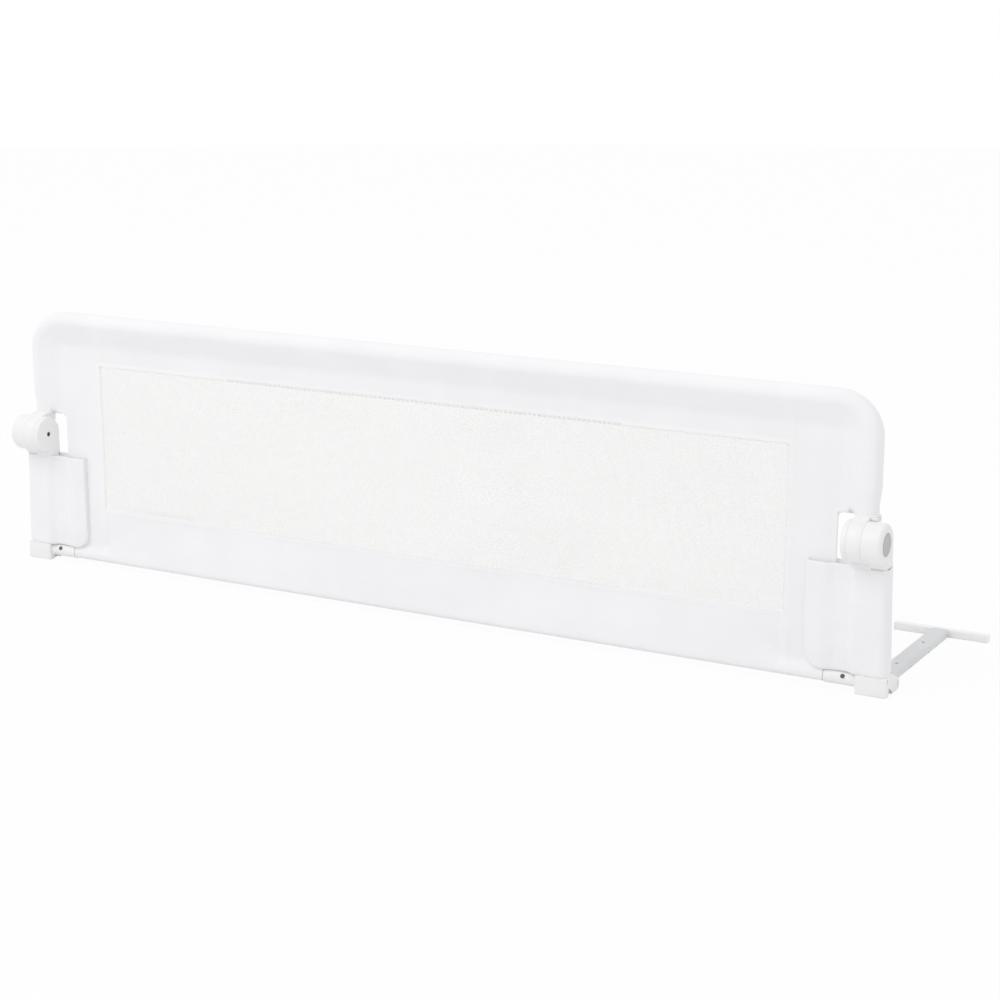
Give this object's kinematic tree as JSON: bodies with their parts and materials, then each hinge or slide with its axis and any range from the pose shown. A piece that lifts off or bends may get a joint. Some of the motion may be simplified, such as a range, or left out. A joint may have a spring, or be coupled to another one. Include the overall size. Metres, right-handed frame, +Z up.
{
  "type": "folding bed guard rail",
  "caption": "Low fabric and net guard rail for the side of a bed. The upper half folds outward on push-button hinges, and flat arms under the mattress hold it.",
  "frame": {"origin": "under the centre of the whole rail's box, on the surface that the feet and arms lie on", "axes": "+X along the bed, +Y from the guard towards the mattress, +Z up"},
  "size_m": [1.598, 0.362, 0.42],
  "materials": {
    "white_plastic": "fine satin moulded white",
    "grey_plastic": "satin moulded grey",
    "gear_plastic": "plain moulded, natural colour",
    "cap_plastic": "satin moulded light grey",
    "white_fabric": "close plain weave, faintly cool white",
    "white_net": "fine white mesh",
    "white_paint": "white powder coat",
    "grey_paint": "light grey powder coat",
    "dark_steel": "blackened steel",
    "zinc_steel": "zinc plated steel"
  },
  "bodies": {
    "base": {"foot_right": "white_plastic", "foot_left": "white_plastic", "foot_rivet_right": "zinc_steel", "foot_rivet_left": "zinc_steel", "lower_post_right": "white_paint", "lower_post_left": "white_paint", "housing_rivet_right": "zinc_steel", "housing_rivet_left": "zinc_steel", "bottom_tube_right": "white_paint", "bottom_tube_left": "white_paint", "bottom_joiner": "zinc_steel", "tube_screw_right": "dark_steel", "tube_screw_left": "dark_steel", "arm_screw_right": "dark_steel", "arm_screw_left": "dark_steel", "support_arm_right": "grey_paint", "support_arm_left": "grey_paint", "cross_bar_right": "grey_paint", "cross_bar_left": "grey_paint", "cross_bar_cap_outer_right": "cap_plastic", "cross_bar_cap_outer_left": "cap_plastic", "cross_bar_cap_inner_right": "cap_plastic", "cross_bar_cap_inner_left": "cap_plastic", "hinge_housing_right": "white_plastic", "hinge_housing_left": "white_plastic", "pivot_bolt_right": "dark_steel", "pivot_bolt_left": "dark_steel", "pivot_nut_right": "zinc_steel", "pivot_nut_left": "zinc_steel", "lock_spring_right": "zinc_steel", "lock_spring_left": "zinc_steel", "cover_bottom_band": "white_fabric", "cover_side_lower_right": "white_fabric", "cover_side_lower_left": "white_fabric", "pocket_right": "white_fabric", "pocket_left": "white_fabric", "net_lower": "white_net"},
    "guard": {"hinge_arm_right": "white_plastic", "hinge_arm_left": "white_plastic", "upper_tube_right": "white_paint", "upper_tube_left": "white_paint", "upper_tube_rivet_right": "zinc_steel", "upper_tube_rivet_left": "zinc_steel", "top_joiner": "zinc_steel", "cover_top_band": "white_fabric", "cover_side_upper_right": "white_fabric", "cover_side_upper_left": "white_fabric", "net_upper": "white_net"},
    "button_right": {"release_button_right": "grey_plastic", "lock_gear_right": "gear_plastic"},
    "button_left": {"release_button_left": "grey_plastic", "lock_gear_left": "gear_plastic"}
  },
  "joints": [
    {"name": "guard_fold", "type": "hinge", "parent": "base", "child": "guard", "pos_m": [0, -0.152, 0.218], "axis": [1, 0, 0], "range_deg": [0, 180]},
    {"name": "release_right", "type": "slide", "parent": "base", "child": "button_right", "axis": [-1, 0, 0], "range_m": [0, 0.007], "stiffness_N_per_m": 800, "springref_m": -0.003, "deforming": ["lock_spring_right"]},
    {"name": "release_left", "type": "slide", "parent": "base", "child": "button_left", "axis": [1, 0, 0], "range_m": [0, 0.007], "stiffness_N_per_m": 800, "springref_m": -0.003, "deforming": ["lock_spring_left"]}
  ]
}
